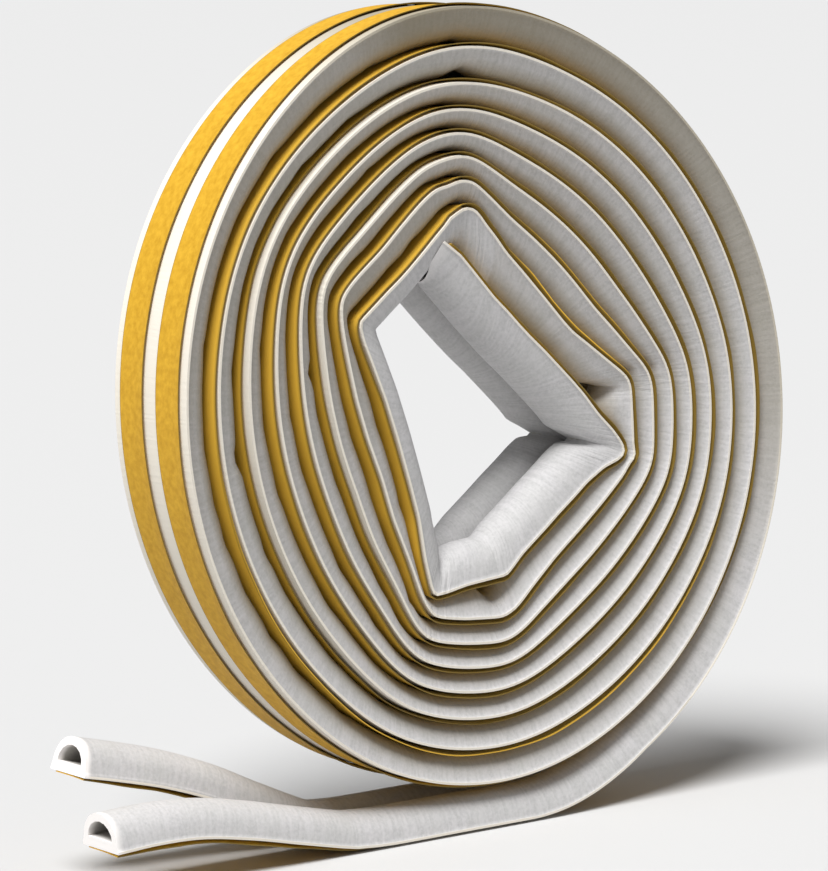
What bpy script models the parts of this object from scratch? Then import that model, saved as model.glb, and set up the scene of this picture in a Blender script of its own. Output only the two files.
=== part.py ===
# Coil of twin D-profile door weatherstrip standing on its own tail

import bpy
import bmesh
from math import cos, radians, sin
from mathutils import Matrix, Vector

# The profile, across the strip and up from its flat back
PROFILE_WIDTH = 0.0095
STRIP_HEIGHT = 0.00635
EDGE_HEIGHT = 0.0007
BASE_THICKNESS = 0.0018
DOME_WALL = 0.0014
SIDE_WALL = 0.0016

# The release paper with its adhesive, one band on the back of each profile
LINER_THICKNESS = 0.0002
LINER_MARGIN = 0.0016
LINER_GAP = 0.0003
TURN_GAP = 0.0003

# The winding, which starts inside and runs clockwise as seen from the front
TURNS = 8
RIM_TURNS = 7.5
RAYS = 24
START_ANGLE = 105.0
LEAVING_ANGLE = -60.0
PRESSED = 0.733
LEAST_PRESSED = 0.52
TIGHTNESS = 0.18
BULGE_TIGHTNESS = 0.18
BOTTOM_TIGHTNESS = -0.10
SLACK = 0.40
BULGE_SLACK = 0.52
LEAN_X = 0.0007
LEAN_Z = -0.0007
OVAL = 0.0019
OVAL_DIRECTION = 128.0

# Corners of the squashed hole, as the angle and the share of the hole's radius that the strip's back is at
HOLE_RADIUS = 0.0270
FIRST_TURN = (
    (105.0, 1.02), (-16.0, 1.09), (-86.0, 0.98), (-112.0, 1.13), (-210.0, 1.13), (-255.0, 1.20),
)
SECOND_TURN = (
    (105.0, 1.23), (95.0, 1.17), (45.0, 0.71), (8.0, 1.02), (-15.0, 1.15), (-60.0, 0.99), (-82.0, 1.14),
    (-98.0, 1.19), (-124.0, 1.19), (-160.0, 0.75), (-210.0, 1.18), (-255.0, 1.23),
)

# The tail, as places across from the coil's middle and heights over the tail's lowest line
LEAD_STEPS = 5
FLAT_START = 0.0090
FLAT_END = -0.0200
SPLIT_PLACE = -0.0270
SPLIT_LIFT = 0.0004
SPLIT_OPENING = 0.0004

# The two legs, as shares of how far they reach from the coil's middle and of how high they lift
LEG_STEPS = 3
NEAR_LEG_REACH = -0.0728
NEAR_LEG_LIFT = 0.0063
NEAR_LEG = ((0.52, 0.43), (0.65, 0.76), (0.78, 1.01), (0.89, 1.06), (1.00, 1.00))
FAR_LEG_REACH = -0.0720
FAR_LEG_LIFT = 0.0162
FAR_LEG = ((0.53, 0.31), (0.66, 0.57), (0.79, 0.77), (0.92, 0.92), (1.00, 1.00))

STRIP_WIDTH = 2 * PROFILE_WIDTH
LINER_STACK = LINER_GAP + LINER_THICKNESS + TURN_GAP
FREE_STACK = STRIP_HEIGHT + LINER_STACK
ACROSS = Vector((0, 1, 0))

ARCH_ANGLES = (28.0, 68.0, 112.0, 152.0)
HOLLOW_ANGLES = (45.0, 90.0, 135.0)


def clear_scene():
    for item in list(bpy.data.objects):
        bpy.data.objects.remove(item, do_unlink=True)


def make_material(name, colour, roughness):
    material = bpy.data.materials.new(name)
    material.use_nodes = True
    shader = material.node_tree.nodes["Principled BSDF"]
    shader.inputs["Base Color"].default_value = (*colour, 1)
    shader.inputs["Roughness"].default_value = roughness
    shader.inputs["Metallic"].default_value = 0
    return material


# Where a ray from the coil's middle meets the straight run between two corners of an outline
def outline_radius(corners, angle):
    for (first_angle, first_radius), (last_angle, last_radius) in zip(corners, corners[1:]):
        if last_angle <= angle <= first_angle:
            first = Vector((cos(radians(first_angle)), sin(radians(first_angle)))) * first_radius
            last = Vector((cos(radians(last_angle)), sin(radians(last_angle)))) * last_radius
            run = last - first
            normal = Vector((run.y, -run.x)).normalized()
            ray = Vector((cos(radians(angle)), sin(radians(angle))))
            return first.dot(normal) / ray.dot(normal) * HOLE_RADIUS
    raise ValueError("the outline has no run at this angle")


def lap_angle(step):
    return START_ANGLE - 360.0 * (step % RAYS) / RAYS


# The outer turns even out to a slightly leaning oval, whose size follows from the pressed turns inside it
def rim_radius(angle):
    laps = [outline_radius(SECOND_TURN, lap_angle(step)) for step in range(RAYS)]
    mean = sum(laps) / RAYS + RIM_TURNS * PRESSED * FREE_STACK
    lean = LEAN_X * cos(radians(angle)) + LEAN_Z * sin(radians(angle))
    return mean + lean + OVAL * cos(2 * radians(angle - OVAL_DIRECTION))


# The turns lie closer together near the hole, most of all below it and where the hole bulges out
def wound_radius(step):
    angle = lap_angle(step)
    if step < RAYS:
        return outline_radius(FIRST_TURN, angle)
    core = outline_radius(SECOND_TURN, angle)
    bulge = core / HOLE_RADIUS - 1
    share = (step / RAYS - 1) / RIM_TURNS
    tightness = TIGHTNESS + BULGE_TIGHTNESS * bulge + BOTTOM_TIGHTNESS * sin(radians(angle))
    slack = SLACK + BULGE_SLACK * bulge
    eased = share + (tightness + slack * (share - 0.5)) * share * (share - 1)
    return core + (rim_radius(angle) - core) * eased


# Radii of the strip's back on every ray, each turn clear of the one inside it
def coil_radii():
    steps = TURNS * RAYS + round((START_ANGLE - LEAVING_ANGLE) * RAYS / 360) + 1
    radii = []
    for step in range(steps):
        radius = wound_radius(step)
        if step >= RAYS:
            radius = max(radius, radii[step - RAYS] + LINER_STACK + LEAST_PRESSED * STRIP_HEIGHT)
        radii.append(radius)
    return radii


# A station is the middle of the strip's back, the way up to the dome, and the height there
def coil_stations(radii):
    stations = []
    for step, radius in enumerate(radii):
        angle = radians(lap_angle(step))
        ray = Vector((cos(angle), 0, sin(angle)))
        height = STRIP_HEIGHT
        if step >= RAYS:
            height = min(height, radius - radii[step - RAYS] - LINER_STACK)
        stations.append((ray * radius, -ray, height))
    return stations


def route_stations(points, before):
    stations = []
    for index, point in enumerate(points):
        previous = points[index - 1] if index else before
        following = points[index + 1] if index + 1 < len(points) else point
        stations.append((point, ACROSS.cross(following - previous).normalized(), STRIP_HEIGHT))
    return stations


# The tail runs off the coil in an arc, lies flat under it and lifts a little where it splits
def tail_points(last, floor_line):
    points = []
    lift = last.z - floor_line
    for step in range(1, LEAD_STEPS + 1):
        left = 1 - step / LEAD_STEPS
        place = FLAT_START + (last.x - FLAT_START) * left
        points.append(Vector((place, 0, floor_line + lift * left * left)))
    points.append(Vector((FLAT_END, 0, floor_line)))
    points.append(Vector((SPLIT_PLACE, 0, floor_line + SPLIT_LIFT)))
    return points


# A smooth route through a leg's points, starting where the two profiles part
def leg_points(split, floor_line, shape, reach, lift, side):
    knots = [Vector((FLAT_END, 0, floor_line)), split.copy()]
    knots += [Vector((reach * along, 0, floor_line + lift * up)) for along, up in shape]
    knots.append(knots[-1] * 2 - knots[-2])
    points = []
    for index in range(1, len(knots) - 2):
        before, first, last, after = knots[index - 1:index + 3]
        for step in range(1, LEG_STEPS + 1):
            share = step / LEG_STEPS
            point = 0.5 * (
                2 * first + (last - before) * share
                + (2 * before - 5 * first + 4 * last - after) * share ** 2
                + (3 * first - before - 3 * last + after) * share ** 3
            )
            point.y = side * SPLIT_OPENING
            points.append(point)
    return points


# Outer line of one profile from its near edge to its far edge, without the two corners of the back
def arch(middle):
    half = PROFILE_WIDTH / 2
    top = max(sin(radians(angle)) for angle in ARCH_ANGLES)
    rise = (STRIP_HEIGHT - EDGE_HEIGHT) / top
    return [
        (middle - half * cos(radians(angle)), EDGE_HEIGHT + rise * sin(radians(angle)))
        for angle in ARCH_ANGLES
    ]


def hollow(middle):
    half = PROFILE_WIDTH / 2 - SIDE_WALL
    rise = STRIP_HEIGHT - DOME_WALL - BASE_THICKNESS
    points = [(middle - half, BASE_THICKNESS)]
    for angle in HOLLOW_ANGLES:
        points.append((middle - half * cos(radians(angle)), BASE_THICKNESS + rise * sin(radians(angle))))
    points.append((middle + half, BASE_THICKNESS))
    return points


def place_ring(mesh, station, outline):
    origin, up, height = station
    press = height / STRIP_HEIGHT
    return [mesh.verts.new(origin + ACROSS * y + up * (h * press)) for y, h in outline]


def skin(mesh, first, last):
    count = len(first)
    for index in range(count):
        after = (index + 1) % count
        mesh.faces.new((first[index], first[after], last[after], last[index]))


def close_end(mesh, rings):
    edges = []
    for ring in rings:
        for index, vertex in enumerate(ring):
            edges.append(mesh.edges.get((vertex, ring[(index + 1) % len(ring)])))
    bmesh.ops.triangle_fill(mesh, edges=edges, use_beauty=True, use_dissolve=False)


def finish(mesh, name, material):
    bmesh.ops.recalc_face_normals(mesh, faces=mesh.faces)
    data = bpy.data.meshes.new(name)
    mesh.to_mesh(data)
    mesh.free()
    data.materials.append(material)
    item = bpy.data.objects.new(name, data)
    bpy.context.scene.collection.objects.link(item)
    return item


# Both profiles in one piece, joined at the web as far as the split, then one leg for each
def build_strip(stations, near_leg, far_leg, material):
    mesh = bmesh.new()
    half = PROFILE_WIDTH / 2
    near_line = [(-STRIP_WIDTH / 2, 0), (-STRIP_WIDTH / 2, EDGE_HEIGHT)] + arch(-half)
    far_line = arch(half) + [(STRIP_WIDTH / 2, EDGE_HEIGHT), (STRIP_WIDTH / 2, 0)]
    web = [(0, EDGE_HEIGHT)]
    seam = [(0, 0)]
    twin_outline = near_line + web + far_line + seam
    near_count = len(near_line)

    outer = [place_ring(mesh, station, twin_outline) for station in stations]
    near_hollow = [place_ring(mesh, station, hollow(-half)) for station in stations]
    far_hollow = [place_ring(mesh, station, hollow(half)) for station in stations]
    for rings in (outer, near_hollow, far_hollow):
        for first, last in zip(rings, rings[1:]):
            skin(mesh, first, last)
    close_end(mesh, (outer[0], near_hollow[0], far_hollow[0]))

    split = outer[-1]
    legs = (
        (near_leg, near_line + web + seam, split[:near_count + 1] + split[-1:], hollow(-half), near_hollow[-1]),
        (far_leg, web + far_line + seam, split[near_count:], hollow(half), far_hollow[-1]),
    )
    for leg, outline, outer_ring, inner_outline, inner_ring in legs:
        for station in leg:
            next_outer = place_ring(mesh, station, outline)
            next_inner = place_ring(mesh, station, inner_outline)
            skin(mesh, outer_ring, next_outer)
            skin(mesh, inner_ring, next_inner)
            outer_ring, inner_ring = next_outer, next_inner
        close_end(mesh, (outer_ring, inner_ring))
    return finish(mesh, "twin_strip", material)


# One paper band, a steady gap under the strip's back, from the inner end to the end of its leg
def build_liner(stations, name, middle, material):
    mesh = bmesh.new()
    half = PROFILE_WIDTH / 2 - LINER_MARGIN
    previous = None
    for origin, up, height in stations:
        ring = []
        for y, depth in (
            (middle - half, LINER_GAP), (middle + half, LINER_GAP),
            (middle + half, LINER_GAP + LINER_THICKNESS), (middle - half, LINER_GAP + LINER_THICKNESS),
        ):
            ring.append(mesh.verts.new(origin + ACROSS * y - up * depth))
        if previous:
            skin(mesh, previous, ring)
        else:
            mesh.faces.new(ring)
        previous = ring
    mesh.faces.new(previous)
    return finish(mesh, name, material)


# The whole part stands on the floor with its box's middle over the origin
def stand_on_floor(items):
    corners = [vertex.co for item in items for vertex in item.data.vertices]
    low = Vector([min(corner[axis] for corner in corners) for axis in range(3)])
    high = Vector([max(corner[axis] for corner in corners) for axis in range(3)])
    shift = Vector((-(low.x + high.x) / 2, -(low.y + high.y) / 2, -low.z))
    for item in items:
        item.data.transform(Matrix.Translation(shift))


clear_scene()
rubber = make_material("white sponge rubber", (0.80, 0.78, 0.77), 0.75)
paper = make_material("amber release paper", (0.72, 0.45, 0.07), 0.5)

radii = coil_radii()
wound = coil_stations(radii)
bottom_step = (TURNS - 1) * RAYS + round((START_ANGLE + 90) * RAYS / 360)
floor_line = -(radii[bottom_step] + LINER_STACK + STRIP_HEIGHT)
tail = tail_points(wound[-1][0], floor_line)
twin = wound + route_stations(tail, wound[-1][0])
near_points = leg_points(tail[-1], floor_line, NEAR_LEG, NEAR_LEG_REACH, NEAR_LEG_LIFT, -1)
far_points = leg_points(tail[-1], floor_line, FAR_LEG, FAR_LEG_REACH, FAR_LEG_LIFT, 1)
near_leg = route_stations(near_points, tail[-1])
far_leg = route_stations(far_points, tail[-1])

strip = build_strip(twin, near_leg, far_leg, rubber)
near_liner = build_liner(twin + near_leg, "liner_near", -PROFILE_WIDTH / 2, paper)
far_liner = build_liner(twin + far_leg, "liner_far", PROFILE_WIDTH / 2, paper)
stand_on_floor((strip, near_liner, far_liner))
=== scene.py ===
from math import radians

import bpy
import numpy as np
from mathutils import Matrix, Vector


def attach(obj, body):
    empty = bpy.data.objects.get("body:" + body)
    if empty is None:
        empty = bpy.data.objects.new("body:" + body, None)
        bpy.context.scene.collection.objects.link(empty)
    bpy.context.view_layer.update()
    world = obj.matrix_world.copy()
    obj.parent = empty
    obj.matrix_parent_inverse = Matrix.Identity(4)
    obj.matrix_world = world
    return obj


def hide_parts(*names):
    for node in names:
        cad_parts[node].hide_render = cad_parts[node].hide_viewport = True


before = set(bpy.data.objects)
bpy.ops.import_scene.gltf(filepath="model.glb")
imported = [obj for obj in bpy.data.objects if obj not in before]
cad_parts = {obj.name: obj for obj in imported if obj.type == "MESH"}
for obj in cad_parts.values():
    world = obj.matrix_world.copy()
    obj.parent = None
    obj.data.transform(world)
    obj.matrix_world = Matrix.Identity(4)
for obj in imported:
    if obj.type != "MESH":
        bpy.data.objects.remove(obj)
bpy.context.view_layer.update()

# The coil stands on a sheet of pale paper in a light tent, under one broad soft light high at the left. The
# camera looks at it from the front left and from a little above, through a long lens.
floor_grey = 0.55
bpy.ops.object.select_all(action="DESELECT")
bpy.ops.mesh.primitive_plane_add(size=80, location=(0, 0, 0))
floor = bpy.context.object
floor.name = "floor"
floor_paint = bpy.data.materials.new("floor_paper")
floor_paint.use_nodes = True
floor_shader = floor_paint.node_tree.nodes["Principled BSDF"]
floor_shader.inputs["Base Color"].default_value = (floor_grey, floor_grey, floor_grey, 1)
floor_shader.inputs["Roughness"].default_value = 0.9
floor.data.materials.append(floor_paint)

look_at = Vector((-0.004214, 0, 0.064216))
look_from = Vector((-0.37822, -0.46649, 0.13864))
bpy.ops.object.camera_add(location=look_from)
camera = bpy.context.object
camera.rotation_euler = (look_at - look_from).to_track_quat("-Z", "Y").to_euler()
camera.data.lens = 155
camera.data.sensor_width = 36
camera.data.clip_start = 0.01
bpy.context.scene.camera = camera

key_from = Vector((-0.6, -0.33, 1.25))
key_strength = 4.9
key_spread = radians(30)
tent_strength = 0.22
bpy.ops.object.light_add(type="SUN", location=key_from)
key_light = bpy.context.object
key_light.name = "key_light"
key_light.data.energy = key_strength
key_light.data.angle = key_spread
key_light.rotation_euler = (-key_from).to_track_quat("-Z", "Y").to_euler()
world = bpy.data.worlds.new("tent")
world.use_nodes = True
world.node_tree.nodes["Background"].inputs["Color"].default_value = (1, 1, 1, 1)
world.node_tree.nodes["Background"].inputs["Strength"].default_value = tent_strength
bpy.context.scene.world = world
bpy.context.scene.view_settings.view_transform = "Standard"

# The strip is wound by hand, flat back outwards, eight and a half times round. The hole inside is squashed
# to four blunt corners, and the turns even out to an oval. Each corner of the two innermost turns is a
# bearing in degrees and a distance from the coil's middle in hole radii.
coil_x = 0.003974
coil_z = 0.068193
hole_radius = 0.0270
first_turn = (
    (114, 1.10), (107, 1.07), (104, 0.985), (99, 0.863), (88, 0.69), (77, 0.608), (67, 0.56),
    (55, 0.535), (39, 0.545), (26, 0.582), (13, 0.66), (5, 0.735), (-5, 0.864), (-10, 0.985),
    (-14, 1.083), (-16.5, 1.12), (-19, 1.10), (-21, 1.055), (-24, 0.99), (-32, 0.907), (-40, 0.872),
    (-50, 0.849), (-59, 0.855), (-68, 0.88), (-74, 0.91), (-79, 0.96), (-82.5, 1.0), (-93, 1.01),
    (-100, 1.037), (-107, 1.097), (-112, 1.145), (-114, 1.11), (-121, 0.974), (-133, 0.805),
    (-151, 0.715), (-171, 0.714), (-189, 0.805), (-202, 0.973), (-207, 1.08), (-211, 1.15),
    (-219, 1.102), (-225, 1.083), (-231, 1.073), (-236, 1.079), (-243, 1.106), (-250, 1.155),
    (-255, 1.20),
)
second_turn = (
    (105, 1.20), (101, 1.235), (98, 1.242), (95, 1.21), (92, 1.118), (89, 1.065), (83, 0.957),
    (74, 0.87), (56, 0.779), (43, 0.765), (35, 0.781), (28, 0.827), (21, 0.891), (15, 0.965),
    (10, 1.05), (7, 1.105), (4, 1.122), (-7, 1.144), (-17, 1.20), (-24, 1.156), (-34, 1.089),
    (-47, 1.046), (-54, 1.041), (-61, 1.053), (-73, 1.13), (-80, 1.215), (-85, 1.25), (-99, 1.241),
    (-110, 1.265), (-116, 1.187), (-121, 1.104), (-127, 1.032), (-142, 0.936), (-158, 0.887),
    (-174, 0.929), (-188, 1.018), (-200, 1.141), (-207, 1.249), (-213, 1.345), (-220, 1.32),
    (-231, 1.292), (-238, 1.315), (-247, 1.368), (-255, 1.43),
)
whole_laps = 8
lap_steps = 720
start_bearing = 105
leaving_bearing = -60
coil_steps = whole_laps * lap_steps + round((start_bearing - leaving_bearing) * lap_steps / 360) + 1
lap = np.arange(coil_steps) / lap_steps
bearing = start_bearing - 360 * (lap % 1)
heading = np.radians(bearing)


def polygon(corners, bearing):
    spots = np.array(corners, float)
    run = np.clip(np.searchsorted(-spots[:, 0], -bearing, side="right") - 1, 0, len(spots) - 2)
    turned = np.radians(spots[:, 0])
    across = spots[:, 1] * np.cos(turned)
    up = spots[:, 1] * np.sin(turned)
    run_x = across[run + 1] - across[run]
    run_z = up[run + 1] - up[run]
    ray_x, ray_z = np.cos(np.radians(bearing)), np.sin(np.radians(bearing))
    return (across[run] * run_z - up[run] * run_x) / (ray_x * run_z - ray_z * run_x) * hole_radius


def soften(values, width, around=False):
    kernel = np.hanning(2 * width + 3)
    kernel /= kernel.sum()
    pad = width + 1
    if around:
        padded = np.concatenate((values[-pad:], values, values[:pad]))
    else:
        padded = np.concatenate((np.full(pad, values[0]), values, np.full(pad, values[-1])))
    return np.convolve(padded, kernel, mode="valid")


rim_radius = 0.0659
rim_shift = 0.0007
rim_oval = 0.0019
rim_tilt = radians(128)
rim = rim_radius + rim_shift * np.cos(heading) - rim_shift * np.sin(heading)
rim += rim_oval * np.cos(2 * (heading - rim_tilt))
laps_to_rim = 7.5
share = (lap - 1) / laps_to_rim


def ease(core, share, heading):
    bulge = core / hole_radius - 1
    tightness = 0.18 + 0.18 * bulge - 0.10 * np.sin(heading)
    slack = 0.40 + 0.52 * bulge
    return share + (tightness + slack * (share - 0.5)) * share * (share - 1)


# The turns ease from the squashed hole to the rim. The hole that they would ease from is worked back from
# the second turn, and its corners soften as the turns grow.
lap_bearing = bearing[:lap_steps]
one_lap = slice(lap_steps, 2 * lap_steps)
wound = polygon(second_turn, lap_bearing)
core = wound
for attempt in range(6):
    eased = ease(core, share[one_lap], heading[one_lap])
    core = (wound - eased * rim[one_lap]) / (1 - eased)
corner_softness = (4, 14, 30, 44)
softness_laps = (1, 2.5, 4.5, 8)
soft_cores = np.array([soften(core, width, around=True) for width in corner_softness])
core_mix = np.clip(np.interp(lap, softness_laps, (0, 1, 2, 3)), 0, 2.999)
low = core_mix.astype(int)
spot = np.arange(coil_steps) % lap_steps
core_here = soft_cores[low, spot] * (1 - core_mix + low) + soft_cores[low + 1, spot] * (core_mix - low)
radius = core_here + (rim - core_here) * ease(core_here, share, heading)
swells = ((8.005, 0.0020, 0.085), (7.8, -0.0004, 0.1), (7.03, 0.0010, 0.045))
for swell_lap, swell_height, swell_width in swells:
    radius += swell_height * np.exp(-((lap - swell_lap) / swell_width) ** 2)
radius[:lap_steps] = polygon(first_turn, lap_bearing)
radius = soften(radius, 4)
least_spacing = 0.0025
spacing_blend = 0.0004
for index in range(lap_steps, coil_steps):
    short = radius[index - lap_steps] + least_spacing - radius[index]
    if short >= spacing_blend:
        radius[index] += short
    elif short > -spacing_blend:
        radius[index] += (short + spacing_blend) ** 2 / (4 * spacing_blend)
inner_radius = np.zeros(coil_steps)
inner_radius[lap_steps:] = radius[:-lap_steps]

# The strip is sponge, so its domes give where turns meet. The room for each cross-section is measured
# square to its back, down to the turn inside. Cross-sections stand closer where the winding is tight.
strip_height = 0.00635
back = np.stack((radius * np.cos(heading), radius * np.sin(heading)), 1)
run_length = np.concatenate(((0,), np.cumsum(np.hypot(*np.diff(back, axis=0).T))))
section_gap = np.interp(lap, (0, 2, 4, 8.5), (0.0009, 0.0010, 0.0014, 0.0016))
crowd = np.concatenate(((0,), np.cumsum(np.diff(run_length) / section_gap[1:])))
steps = np.arange(coil_steps)
at = np.interp(np.linspace(0, crowd[-1], int(crowd[-1]) + 1), crowd, steps)
coil_heading = np.interp(at, steps, radians(start_bearing) - 2 * np.pi * lap)
coil_radius = np.interp(at, steps, radius)
coil_inner = np.interp(at, steps, inner_radius)
coil_lap = np.interp(at, steps, lap)
coil_along = np.interp(at, steps, run_length)
ray = np.stack((np.cos(coil_heading), np.sin(coil_heading)), 1)

near_steps = np.arange(-90, 91, 2)
window = np.clip(np.round(at).astype(int)[:, None] + near_steps[None, :], 0, coil_steps - 1)
seg_start = back[window[:, :-1]]
seg_run = back[window[:, 1:]] - seg_start
seg_square = np.maximum((seg_run ** 2).sum(2), 1e-14)


def depth_at(ray_radius):
    gap = (ray * ray_radius[:, None])[:, None, :] - seg_start
    place = np.clip((gap * seg_run).sum(2) / seg_square, 0, 1)
    return np.sqrt((((gap - seg_run * place[:, :, None])) ** 2).sum(2).min(1))


top_clearance = 0.00035
longest_ray = 1.9
end_height = 0.0048
room = depth_at(coil_inner + top_clearance)
coil_height = np.where(coil_lap < 1, strip_height, np.minimum(strip_height, room))
end_press = np.interp(coil_lap, (0.57, 0.63, 1.0, 1.03), (0, 1, 1, 0))
coil_height = np.minimum(coil_height, strip_height + (end_height - strip_height) * end_press)
levels = np.array((0, 0.08, 0.2, 0.35, 0.5, 0.65, 0.8, 0.9, 1.0))
level_radius = [coil_radius]
for last_level, level in zip(levels[:-1], levels[1:]):
    wanted = level * coil_height
    furthest = coil_radius - longest_ray * wanted
    lowest = np.maximum(np.where(coil_lap < 1, furthest, coil_inner + top_clearance), furthest)
    here = level_radius[-1] - (level - last_level) * coil_height
    for attempt in range(10):
        here = here - (wanted - depth_at(here))
        here = np.minimum(np.maximum(here, lowest), level_radius[-1])
    level_radius.append(here)
level_radius = np.stack(level_radius, 1)

# The tail leaves the coil at the lower right, lies flat under it, and is torn along its web into two legs
# that rise to the left. Each knot is a place along the floor and the back's height there.
floor_line = -0.067693
tail_knots = ((0.0090, 0), (-0.0055, 0), (-0.0200, 0), (-0.0270, 0.0004))
near_knots = ((-0.0379, 0.0027), (-0.0473, 0.0048), (-0.0568, 0.0064), (-0.0648, 0.0067), (-0.0728, 0.0063))
far_knots = ((-0.0382, 0.0050), (-0.0475, 0.0092), (-0.0569, 0.0125), (-0.0662, 0.0149), (-0.0720, 0.0162))
tail_gap = 0.0015
lead_steps = 20


def smooth_route(knots, first):
    spots = [np.array(knot, float) for knot in knots]
    spots = [2 * spots[0] - spots[1]] + spots + [2 * spots[-1] - spots[-2]]
    points = []
    for index in range(max(1, first), len(spots) - 2):
        before, one, two, after = spots[index - 1:index + 3]
        count = max(2, round(np.hypot(*(two - one)) / tail_gap))
        for step in range(1, count + 1):
            t = step / count
            points.append(0.5 * (
                2 * one + (two - before) * t + (2 * before - 5 * one + 4 * two - after) * t ** 2
                + (3 * one - before - 3 * two + after) * t ** 3
            ))
    return np.array(points) + (0, floor_line)


def upward(points):
    run = np.gradient(points, axis=0)
    run /= np.hypot(run[:, 0], run[:, 1])[:, None]
    return np.stack((run[:, 1], -run[:, 0]), 1)


def lengths_along(points, start):
    return start + np.concatenate(((0,), np.cumsum(np.hypot(*np.diff(points, axis=0).T))))


lead_start = back[-1]
lead_lift = lead_start[1] - floor_line
lead_share = np.linspace(0, 1, lead_steps)[1:]
lead = np.stack((
    lead_start[0] + (tail_knots[0][0] - lead_start[0]) * lead_share,
    floor_line + lead_lift * (1 - lead_share) ** 2,
), 1)
flat = smooth_route(tail_knots, 1)
near_route = smooth_route(tail_knots + near_knots, len(tail_knots))
far_route = smooth_route(tail_knots + far_knots, len(tail_knots))
coil_points = ray * coil_radius[:, None]
twin_points = np.concatenate((coil_points, lead, flat))
coil_n = len(coil_points)
twin_n = len(twin_points)
twin_up = upward(np.concatenate((twin_points, near_route[:2])))[:-2]
near_up = upward(np.concatenate((flat[-2:], near_route)))[2:]
far_up = upward(np.concatenate((flat[-2:], far_route)))[2:]
twin_along = lengths_along(twin_points, 0)
near_along = lengths_along(np.concatenate((flat[-1:], near_route)), twin_along[-1])[1:]
far_along = lengths_along(np.concatenate((flat[-1:], far_route)), twin_along[-1])[1:]

# The skin wrinkles where the strip turns sharply, so each cross-section keeps its bend in radians per mm
turned = np.unwrap(np.arctan2(twin_up[:, 1], twin_up[:, 0]))
turn_rate = np.gradient(turned) / np.maximum(np.hypot(*np.gradient(twin_points, axis=0).T), 1e-6)
bend_kernel = np.hanning(9)
twin_bend = np.convolve(np.abs(turn_rate), bend_kernel / bend_kernel.sum(), mode="same") / 1000

# One profile is an extruded D of sponge rubber: a flat base with a thin lip along each edge, and a dome.
# Two of them come off the die side by side, joined by a thin web. Squashed domes are boxier.
profile_width = 0.0095
lip_height = 0.00048
lip_round = 0.00012
web_height = 0.0007
web_half = 0.0002
torn_web_half = 0.0001
dome_half = 0.00455
pressed_half = 0.0044
dome_angles = np.radians(np.arange(4, 180, 15.6))


def dome_line(middle, height, pressed):
    power = 2 / (2.2 - 0.4 * pressed)
    reach = dome_half + (pressed_half - dome_half) * pressed
    side = np.cos(dome_angles)[None, :]
    y = middle - np.sign(side) * np.abs(side) ** power[:, None] * reach[:, None]
    rise = lip_height + (height[:, None] - lip_height) * np.sin(dome_angles)[None, :] ** power[:, None]
    return y, rise


def outline(height, pressed, parts):
    half = profile_width / 2
    web_edge = web_half if parts == "near far" else torn_web_half
    columns_y, columns_rise = [], []

    def add(y, rise):
        columns_y.append(np.full((len(height), 1), y))
        columns_rise.append(np.full((len(height), 1), rise))

    def add_dome(middle):
        y, rise = dome_line(middle, height, pressed)
        columns_y.append(y)
        columns_rise.append(rise)

    if "near" in parts:
        add(-profile_width, 0)
        add(-profile_width, lip_height * 0.8)
        add(-profile_width + lip_round, lip_height)
        add_dome(-half)
        add(-web_edge, web_height)
    add(0, web_height * 0.85)
    if "far" in parts:
        add(web_edge, web_height)
        add_dome(half)
        add(profile_width - lip_round, lip_height)
        add(profile_width, lip_height * 0.8)
        add(profile_width, 0)
        add(half, 0)
    add(0, 0)
    if "near" in parts:
        add(-half, 0)
        add(-profile_width, 0)
    else:
        add(0, web_height * 0.85)
    return np.concatenate(columns_y, 1), np.concatenate(columns_rise, 1)


def radius_at(rise):
    part = np.clip(rise / coil_height[:, None], 0, 1)
    index = np.clip(np.searchsorted(levels, part, side="right") - 1, 0, len(levels) - 2)
    rows = np.arange(len(rise))[:, None]
    low_radius, high_radius = level_radius[rows, index], level_radius[rows, index + 1]
    level_part = (part - levels[index]) / (levels[index + 1] - levels[index])
    return low_radius + (high_radius - low_radius) * level_part


# Near both ends of the coil a cross-section stands square to the back, and between them it follows the rays
square_share = np.clip((coil_lap - (coil_lap[-1] - 0.09)) / 0.08, 0, 1)
square_share = np.maximum(square_share, np.clip(1 - coil_lap / 0.06, 0, 1))[:, None, None]


def place_twin(y, rise):
    spots = twin_points[:, None, :] + twin_up[:, None, :] * rise[:, :, None]
    along_rays = ray[:, None, :] * radius_at(rise[:coil_n])[:, :, None]
    spots[:coil_n] = along_rays * (1 - square_share) + spots[:coil_n] * square_share
    return np.stack((spots[:, :, 0] + coil_x, y, spots[:, :, 1] + coil_z), 2)


def place_leg(points, up, y, rise):
    spots = points[:, None, :] + up[:, None, :] * rise[:, :, None]
    return np.stack((spots[:, :, 0] + coil_x, y, spots[:, :, 1] + coil_z), 2)


def skin(name, rows, along, rise, bend, first_mark=0, last_mark=0, shade=None):
    count, wide = rows.shape[:2]
    mark = np.zeros(rows.shape[:2])
    mark[0] = first_mark
    mark[-1] = last_mark
    bpy.ops.object.select_all(action="DESELECT")
    bpy.ops.mesh.primitive_grid_add(x_subdivisions=wide - 1, y_subdivisions=count - 1, size=1)
    item = bpy.context.object
    item.name = name
    mesh = item.data
    mesh.vertices.foreach_set("co", rows.reshape(-1).astype(np.float32))
    for label, values in (
        ("along", np.repeat(along, wide)), ("rise", rise.reshape(-1)), ("bend", np.repeat(bend, wide)),
        ("mark", mark.reshape(-1)), ("shade", (0 * mark if shade is None else shade).reshape(-1)),
    ):
        attribute = mesh.attributes.new(label, "FLOAT", "POINT")
        attribute.data.foreach_set("value", values.astype(np.float32))
    mesh.update()
    return item


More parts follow.
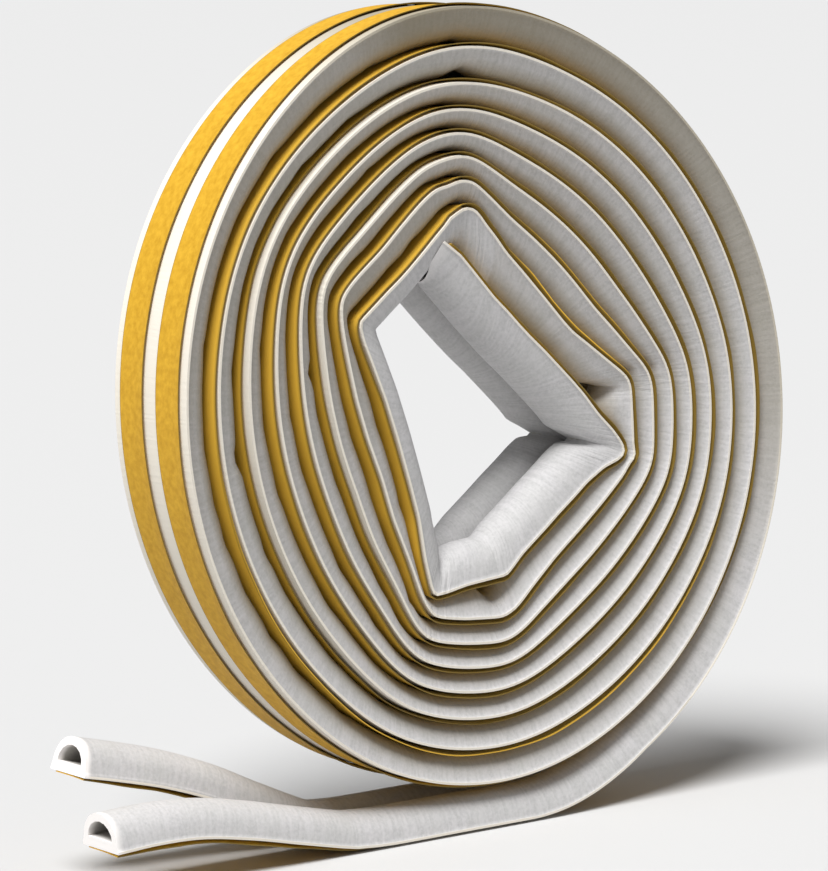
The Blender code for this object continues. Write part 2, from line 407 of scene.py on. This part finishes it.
# The wound sponge has shallow dents all along and deeper folds at the blunt corners. Each fold is a place
# in laps, the share of the height that it takes away, and half its length.
dent_count = 200
dents = np.random.default_rng(5)
dent_places = np.cumsum(dents.uniform(0.006, 0.024, dent_count))
dent_depths = dents.uniform(0.02, 0.09, dent_count)
dent_widths = dents.uniform(0.0022, 0.0050, dent_count)
dent = (dent_depths * np.clip(1 - np.abs(coil_along[:, None] - dent_places) / dent_widths, 0, 1)).max(1)
dent *= np.clip((coil_lap - 1) / 0.1, 0, 1) * np.clip((8.3 - coil_lap) / 0.2, 0, 1)
for fold_lap, fold_depth, fold_width in (
    (0.337, 0.30, 0.0022), (0.600, 0.22, 0.0018), (1.279, 0.52, 0.0032), (1.533, 0.48, 0.0038),
    (2.266, 0.36, 0.0020), (2.620, 0.22, 0.0018), (3.270, 0.34, 0.0020), (3.830, 0.25, 0.0022),
    (6.780, 0.22, 0.0035), (7.030, 0.30, 0.0045),
):
    fold_place = np.interp(fold_lap, coil_lap, coil_along)
    dent = np.maximum(dent, fold_depth * np.clip(1 - np.abs(coil_along - fold_place) / fold_width, 0, 1))

# On the last turn and the tail nothing presses the domes. In the photo they still look lower than the
# nominal profile, about 5.3 mm, and a little more at the open ends. The legs' torn edges stand apart.
free_height = 0.0053
near_end_height = 0.0056
far_end_height = 0.0057
torn_opening = 0.0003
tail_height = np.full(twin_n - coil_n, free_height)
coil_height -= (strip_height - free_height) * np.interp(coil_lap, (8.15, 8.44), (0, 1))
twin_height = np.concatenate((coil_height * (1 - dent), tail_height))
twin_pressed = np.concatenate((np.interp(coil_lap, (0.9, 1.15, 8.25, 8.46), (0, 1, 1, 0)), 0 * tail_height))
twin_y, twin_rise = outline(twin_height, twin_pressed, "near far")
near_height = np.linspace(free_height, near_end_height, len(near_route))
far_height = np.linspace(free_height, far_end_height, len(far_route))
near_y, near_rise = outline(near_height, 0 * near_height, "near")
far_y, far_rise = outline(far_height, 0 * far_height, "far")
near_shift = -torn_opening * np.clip(np.arange(len(near_route)) / 5, 0, 1)[:, None]
far_shift = torn_opening * np.clip(np.arange(len(far_route)) / 5, 0, 1)[:, None]
twin_rows = place_twin(twin_y, twin_rise)
near_rows = place_leg(near_route, near_up, near_y + near_shift, near_rise)
far_rows = place_leg(far_route, far_up, far_y + far_shift, far_rise)
web_column = 4 + len(dome_angles)
seam_column = 2 * web_column + 2
near_first = twin_rows[-1][[*range(web_column + 1), seam_column, seam_column + 1, seam_column + 2]]
far_first = twin_rows[-1][[*range(web_column, seam_column + 1), web_column]]

# The inner end butts against the dome of the same turn's last stretch, so it is cut to that dome's round
end_power = 1.8
end_dome = 0.0043
web_zone = 0.0035
end_run = twin_points[0] - twin_points[1]
end_run /= np.hypot(*end_run)
beside = np.abs(np.abs(twin_y[0]) - profile_width / 2) / pressed_half
end_gap = end_height - lip_height - end_dome * np.maximum(1 - beside ** end_power, 0) ** (1 / end_power)
on_web = np.abs(twin_y[0]) < web_zone
end_limit = np.where(on_web, 0.0050, 0.0026)
end_bury = np.where(on_web, 0.0016, 0.0006)
twin_rows[0, :, ::2] += end_run * (end_bury + np.minimum(end_limit, end_gap))[:, None]

# The rubber's colour is darkened where the photo shows it darker than the lights make it: deep between the
# turns beside the paper, on the domes at the upper left, and on top of the outermost turn
spacing = (coil_radius - coil_inner)[:, None]
beside_paper = np.clip((twin_rise[:coil_n] - 0.22 * spacing) / (0.7 * spacing), 0, 1)
beside_paper *= 0.95 * (coil_lap[:, None] > 1.05) * np.interp(coil_lap, (8.25, 8.42), (1, 0.35))[:, None]
last_turn = np.interp(coil_lap, (7.93, 8.0, 8.12, 8.3, 8.38), (0, 0.75, 0.6, 0.45, 0))[:, None]
facing_away = 0.42 * np.clip(np.cos(coil_heading - radians(140)), 0, 1) ** 2 * (coil_lap > 1.05)
on_dome = np.clip((twin_rise[:coil_n] - 0.00047) / 0.0002, 0, 1)
twin_shade = np.zeros(twin_rise.shape)
twin_shade[:coil_n] = np.maximum(np.maximum(beside_paper, last_turn), facing_away[:, None] * on_dome)
shells = [
    skin("twin_skin", twin_rows, twin_along, twin_rise, twin_bend, first_mark=1, shade=twin_shade),
    skin("near_skin", np.concatenate((near_first[None], near_rows)),
         np.concatenate((twin_along[-1:], near_along)), np.concatenate((near_rise[:1], near_rise)),
         np.zeros(len(near_route) + 1), last_mark=2),
    skin("far_skin", np.concatenate((far_first[None], far_rows)),
         np.concatenate((twin_along[-1:], far_along)), np.concatenate((far_rise[:1], far_rise)),
         np.zeros(len(far_route) + 1), last_mark=3),
]

# Each profile is hollow all the way, a half moon between the base and the dome's wall, which the die's pin
# leaves. It opens at the inner end and at the end of each leg.
base_thickness = 0.0018
dome_wall = 0.0014
side_wall = 0.0015
# The insides of the hollows get painted shade
hollow_shade = 0.35
hollow_rise = 0.002
hollow_angles = np.radians(np.arange(0, 181, 22.5))


def hollow_line(middle, height):
    press = (height / strip_height)[:, None]
    half = profile_width / 2 - side_wall
    y = middle - half * np.cos(hollow_angles)[None, :] + 0 * press
    hollow_height = strip_height - dome_wall - base_thickness
    rise = (base_thickness + hollow_height * np.sin(hollow_angles)[None, :]) * press
    return np.concatenate((y, y[:, :1]), 1), np.concatenate((rise, rise[:, :1]), 1)


for name, middle, points, up, along, leg_height, shift, mark in (
    ("near_hollow", -profile_width / 2, near_route, near_up, near_along, near_height, near_shift, 2),
    ("far_hollow", profile_width / 2, far_route, far_up, far_along, far_height, far_shift, 3),
):
    leg_y, leg_rise = hollow_line(middle, leg_height)
    leg_rows = place_leg(points, up, leg_y + shift, leg_rise)
    rows = np.concatenate((place_twin(*hollow_line(middle, twin_height))[:-1:3], leg_rows))
    shells.append(skin(
        name, rows, np.concatenate((twin_along[:-1:3], along)), np.full(rows.shape[:2], hollow_rise),
        np.zeros(len(rows)), first_mark=1, last_mark=mark, shade=np.full(rows.shape[:2], hollow_shade),
    ))

# The outer skins and the hollows become one closed strip. The three ends, marked 1 to 3, are cut faces.
bpy.ops.object.select_all(action="DESELECT")
for shell in shells:
    shell.select_set(True)
strip = shells[0]
bpy.context.view_layer.objects.active = strip
bpy.ops.object.join()
strip.name = "sponge_strip"
strip.data.name = "sponge_strip"
bpy.ops.object.mode_set(mode="EDIT")
bpy.ops.mesh.select_all(action="SELECT")
bpy.ops.mesh.remove_doubles(threshold=1e-7)
for mark in (1, 2, 3):
    bpy.ops.mesh.select_mode(type="VERT")
    bpy.ops.mesh.select_all(action="DESELECT")
    bpy.ops.object.mode_set(mode="OBJECT")
    marks = np.zeros(len(strip.data.vertices), np.float32)
    strip.data.attributes["mark"].data.foreach_get("value", marks)
    strip.data.vertices.foreach_set("select", np.abs(marks - mark) < 0.1)
    bpy.ops.object.mode_set(mode="EDIT")
    bpy.ops.mesh.fill(use_beauty=True)
bpy.ops.mesh.select_all(action="SELECT")
bpy.ops.mesh.normals_make_consistent(inside=False)
bpy.ops.object.mode_set(mode="OBJECT")
bpy.ops.object.shade_smooth_by_angle(angle=radians(50))
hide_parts("twin_strip")
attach(strip, "root")

# The rubber is a matt off-white closed-cell sponge. Its skin is faintly mottled, with fine wrinkles across
# the strip that deepen at the corners. The lips are creamier, and the cut ends are whiter than the skin.
rubber = bpy.data.materials.new("white_sponge_rubber")
rubber.use_nodes = True
tree = rubber.node_tree
shader = tree.nodes["Principled BSDF"]
shader.inputs["Roughness"].default_value = 0.8


def add_node(tree, kind, settings=None, **values):
    node = tree.nodes.new(kind)
    for key, value in (settings or {}).items():
        setattr(node, key, value)
    for key, value in values.items():
        node.inputs[key.replace("_", " ")].default_value = value
    return node


def attribute_value(tree, label):
    return add_node(tree, "ShaderNodeAttribute", {"attribute_name": label}).outputs["Fac"]


def noise_value(tree, place, **values):
    node = add_node(tree, "ShaderNodeTexNoise", **values)
    tree.links.new(place, node.inputs["Vector"])
    return node.outputs["Fac"]


def blend_colours(tree, factor, first, second):
    node = tree.nodes.new("ShaderNodeMix")
    node.data_type = "RGBA"
    for socket, value in ((node.inputs[0], factor), (node.inputs[6], first), (node.inputs[7], second)):
        if isinstance(value, bpy.types.NodeSocket):
            tree.links.new(value, socket)
        else:
            socket.default_value = value
    return node.outputs[2]


def span(tree, value, low, high, to_low=0, to_high=1):
    node = add_node(tree, "ShaderNodeMapRange", From_Min=low, From_Max=high, To_Min=to_low, To_Max=to_high)
    tree.links.new(value, node.inputs["Value"])
    return node.outputs["Result"]


skin_dark = (0.43, 0.425, 0.425, 1)
skin_light = (0.53, 0.52, 0.52, 1)
streak_light = (0.64, 0.62, 0.63, 1)
cloud_grey = (0.47, 0.475, 0.45, 1)
lip_cream = (0.76, 0.71, 0.62, 1)
painted_shade_brown = (0.20, 0.165, 0.09, 1)
cut_white = (0.86, 0.83, 0.81, 1)
streaks_along = 1500.0
streaks_up = 220.0
rise_value = attribute_value(tree, "rise")
place_value = add_node(tree, "ShaderNodeTexCoord").outputs["Object"]
streak_place = add_node(tree, "ShaderNodeCombineXYZ")
along_value = attribute_value(tree, "along")
for value, density, axis in ((along_value, streaks_along, "X"), (rise_value, streaks_up, "Y")):
    scaled = add_node(tree, "ShaderNodeMath", {"operation": "MULTIPLY"})
    scaled.inputs[1].default_value = density
    tree.links.new(value, scaled.inputs[0])
    tree.links.new(scaled.outputs[0], streak_place.inputs[axis])
speckle = noise_value(tree, place_value, Scale=1900.0, Detail=2.0, Roughness=0.6)
cloud = noise_value(tree, place_value, Scale=160.0, Detail=2.0)
streak = noise_value(tree, streak_place.outputs["Vector"], Scale=1.0, Detail=2.0, Roughness=0.5)
colour = blend_colours(tree, span(tree, speckle, 0.3, 0.7), skin_dark, skin_light)
colour = blend_colours(tree, span(tree, streak, 0.38, 0.64, 0.0, 0.38), colour, streak_light)
colour = blend_colours(tree, span(tree, cloud, 0.35, 0.7, 0.0, 0.25), colour, cloud_grey)
colour = blend_colours(tree, span(tree, rise_value, 0.00034, 0.00046, 1.0, 0.0), colour, lip_cream)
# Painted shade: the shade attribute browns the skin, for shade and for light bounced off the amber paper
colour = blend_colours(tree, attribute_value(tree, "shade"), colour, painted_shade_brown)
colour = blend_colours(tree, span(tree, attribute_value(tree, "mark"), 0.4, 2.0), colour, cut_white)
tree.links.new(colour, shader.inputs["Base Color"])
wrinkle_strength = span(tree, attribute_value(tree, "bend"), 0.0, 0.1, 0.12, 0.9)
wrinkles = add_node(tree, "ShaderNodeBump", Distance=0.00025)
tree.links.new(streak, wrinkles.inputs["Height"])
tree.links.new(wrinkle_strength, wrinkles.inputs["Strength"])
grain = add_node(tree, "ShaderNodeBump", Distance=0.00008, Strength=0.35)
tree.links.new(speckle, grain.inputs["Height"])
tree.links.new(wrinkles.outputs["Normal"], grain.inputs["Normal"])
tree.links.new(grain.outputs["Normal"], shader.inputs["Normal"])
strip.data.materials.clear()
strip.data.materials.append(rubber)

# Amber release paper, siliconised and satin, covers the band of glue on the back of each profile. Where it
# has been wound in, and on the legs, it is wider than the glue, and its near edge hangs off the rubber.
paper = bpy.data.materials.new("amber_release_paper")
paper.use_nodes = True
tree = paper.node_tree
paper_shader = tree.nodes["Principled BSDF"]
paper_shader.inputs["Roughness"].default_value = 0.6
paper_shader.inputs["Specular IOR Level"].default_value = 0.2
amber_dark = (0.52, 0.28, 0.016, 1)
amber_light = (0.66, 0.38, 0.030, 1)
painted_light_amber = (0.82, 0.49, 0.055, 1)
painted_edge_shade = (0.21, 0.14, 0.03, 1)
fibre = noise_value(
    tree, add_node(tree, "ShaderNodeTexCoord").outputs["Object"], Scale=900.0, Detail=3.0, Roughness=0.6)
colour = blend_colours(tree, span(tree, fibre, 0.3, 0.7), amber_dark, amber_light)
# Painted light: where the paper is wound in (its bend attribute) it is painted a brighter, more saturated
# amber
colour = blend_colours(tree, attribute_value(tree, "bend"), colour, painted_light_amber)
# Painted shade: the paper's rise attribute holds its edge shade, which browns the amber
colour = blend_colours(tree, span(tree, attribute_value(tree, "rise"), 0.2, 1.0), colour, painted_edge_shade)
tree.links.new(colour, paper_shader.inputs["Base Color"])

paper_half = 0.00315
near_reach = 0.00455
paper_gap = 0.00006
paper_thickness = 0.00016
least_hang = 0.0003
more_hang = 0.0006
bright_hang = 0.0003
waver_count = 400
across_share = np.array((-1, -0.95, -0.78, -0.58, -0.36, -0.1, 0.45, 0.93, 1))
across = np.concatenate((across_share, across_share[::-1], across_share[:1]))[None, :]
inner_side = np.concatenate((0 * across_share, 1 + 0 * across_share, (0,)))
curl = np.clip((-0.1 - across_share) / 0.9, 0, 1) ** 1.6
for name, middle, points, up, along, shift, node in (
    ("near_paper", -profile_width / 2, near_route, near_up, near_along, near_shift, "liner_near"),
    ("far_paper", profile_width / 2, far_route, far_up, far_along, far_shift, "liner_far"),
):
    all_points = np.concatenate((twin_points, points))
    all_up = np.concatenate((twin_up, up))
    all_along = np.concatenate((twin_along, along))
    all_shift = np.concatenate((np.zeros((twin_n, 1)), shift))

    # How far the near edge reaches, with two stretches where the paper sits further back
    wound_share = np.zeros(len(all_points))
    wound_share[:coil_n] = np.interp(coil_lap, (7.35, 7.5), (1, 0))
    leg_share = np.concatenate((np.zeros(twin_n - 8), np.linspace(0, 1, 16), np.ones(len(points) - 8)))
    reach = paper_half + (near_reach - paper_half) * np.maximum(wound_share, leg_share)[:, None]
    reach[:coil_n, 0] -= np.interp(
        coil_lap, (2.60, 2.70, 3.00, 3.08, 5.50, 5.65, 6.05, 6.15),
        (0, 0.0008, 0.0008, 0, 0, 0.0012, 0.0012, 0))
    y = middle + np.where(across < 0, reach, paper_half) * across + all_shift

    # How far it hangs: most where the back faces right and a little down, least on the opposite side.
    # The inner end, the stretch on the floor and the leg's end hang less than the rest.
    facing = np.arctan2(-all_up[:, 1], -all_up[:, 0])
    hang_share = (0.5 + 0.5 * np.cos(facing + radians(25))) * (0.2 + 0.8 * wound_share + 0.55 * leg_share)
    hang_share[:coil_n] *= np.interp(coil_lap, (0.15, 0.4), (0.15, 1))
    bright_edge = np.zeros(len(all_points))
    bright_edge[:coil_n] = np.interp(
        coil_lap, (1.06, 1.10, 1.24, 1.28, 2.06, 2.12, 2.22, 2.28, 6.36, 6.42, 6.70, 6.80),
        (0, 1, 1, 0, 0, 0.5, 0.5, 0, 0, 0.8, 0.8, 0))
    hang = least_hang + (more_hang + bright_hang * bright_edge) * hang_share
    waver = dents.uniform(0.7, 1.12, waver_count)
    hang = (hang * np.interp(all_along, np.linspace(0, 2.6, waver_count), waver))[:, None]
    hang[-8:] *= np.linspace(1, 0.3, 8)[:, None]
    on_floor = (coil_n, coil_n + 14, twin_n - 3, twin_n + 8)
    hang *= np.interp(np.arange(len(all_points)), on_floor, (1, 0.45, 0.45, 1))[:, None]
    lift = paper_gap + hang * curl[None, :]
    drop = np.concatenate((lift + paper_thickness, lift[:, ::-1], lift[:, :1] + paper_thickness), 1)

    # Painted shade: the cut edges and the side towards the rubber are browned, but three stretches of edge
    # stay bright
    edge_band = 0.07 + 0.06 * wound_share[:, None]
    edge = np.clip((np.abs(across) - 1 + edge_band) / edge_band, 0, 1)
    edge = np.maximum(edge, 0.9 * inner_side * np.clip(3 * hang_share * wound_share, 0, 1)[:, None])
    edge *= 1 - 0.75 * bright_edge[:, None] * (np.abs(across) > 0.99)
    rows = place_leg(all_points, all_up, y, -drop)
    rows[0, :, ::2] += end_run * 0.0015
    band = skin(name, rows, all_along, edge, wound_share)
    bpy.ops.object.mode_set(mode="EDIT")
    bpy.ops.mesh.select_all(action="SELECT")
    bpy.ops.mesh.remove_doubles(threshold=1e-7)
    bpy.ops.mesh.select_all(action="DESELECT")
    bpy.ops.mesh.select_non_manifold(extend=False)
    bpy.ops.mesh.fill_holes(sides=0)
    bpy.ops.mesh.select_all(action="SELECT")
    bpy.ops.mesh.normals_make_consistent(inside=False)
    bpy.ops.object.mode_set(mode="OBJECT")
    bpy.ops.object.shade_smooth_by_angle(angle=radians(50))
    band.data.materials.append(paper)
    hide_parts(node)
    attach(band, "root")
